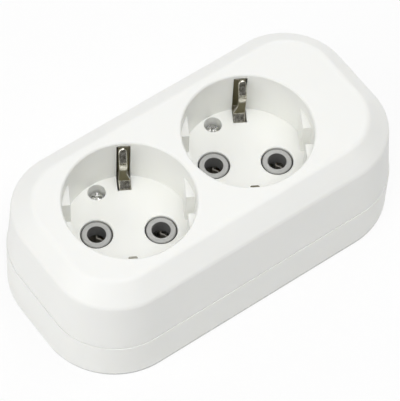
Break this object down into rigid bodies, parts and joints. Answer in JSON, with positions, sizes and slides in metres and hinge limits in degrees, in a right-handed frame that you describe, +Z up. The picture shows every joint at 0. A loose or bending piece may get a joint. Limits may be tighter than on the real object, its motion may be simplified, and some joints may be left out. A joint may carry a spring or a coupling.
{
  "type": "extension socket block",
  "caption": "Low rounded block for an extension lead with round earthed socket wells side by side, sprung side contacts, pin bushes and a cord inlet at one end.",
  "frame": {"origin": "middle of the bounding box on the underside", "axes": "+X along the length to the cord inlet, +Y across to the side with the cover screws, +Z up out of the wells"},
  "size_m": [0.1194, 0.0618, 0.0397],
  "materials": {
    "white_plastic": "satin moulded",
    "grey_plastic": "matte moulded",
    "plated_strip": "nickel plated",
    "brass_strip": "rolled",
    "brass_contact": "rolled spring",
    "zinc_screw": "zinc plated"
  },
  "bodies": {
    "root": {"top_cover": "white_plastic", "base_tray": "white_plastic", "contact_carrier_left": "grey_plastic", "contact_carrier_right": "grey_plastic", "earth_clip_left": "plated_strip", "earth_clip_right": "plated_strip", "earth_busbar": "brass_strip", "line_busbar": "brass_strip", "neutral_busbar": "brass_strip", "line_contact_left": "brass_contact", "line_contact_right": "brass_contact", "neutral_contact_left": "brass_contact", "neutral_contact_right": "brass_contact", "contact_rivets": "brass_contact", "line_terminal": "brass_strip", "neutral_terminal": "brass_strip", "earth_terminal": "brass_strip", "terminal_screws": "zinc_screw", "cord_clamp": "white_plastic", "cord_clamp_screws": "zinc_screw", "cover_screws": "zinc_screw"}
  },
  "joints": []
}
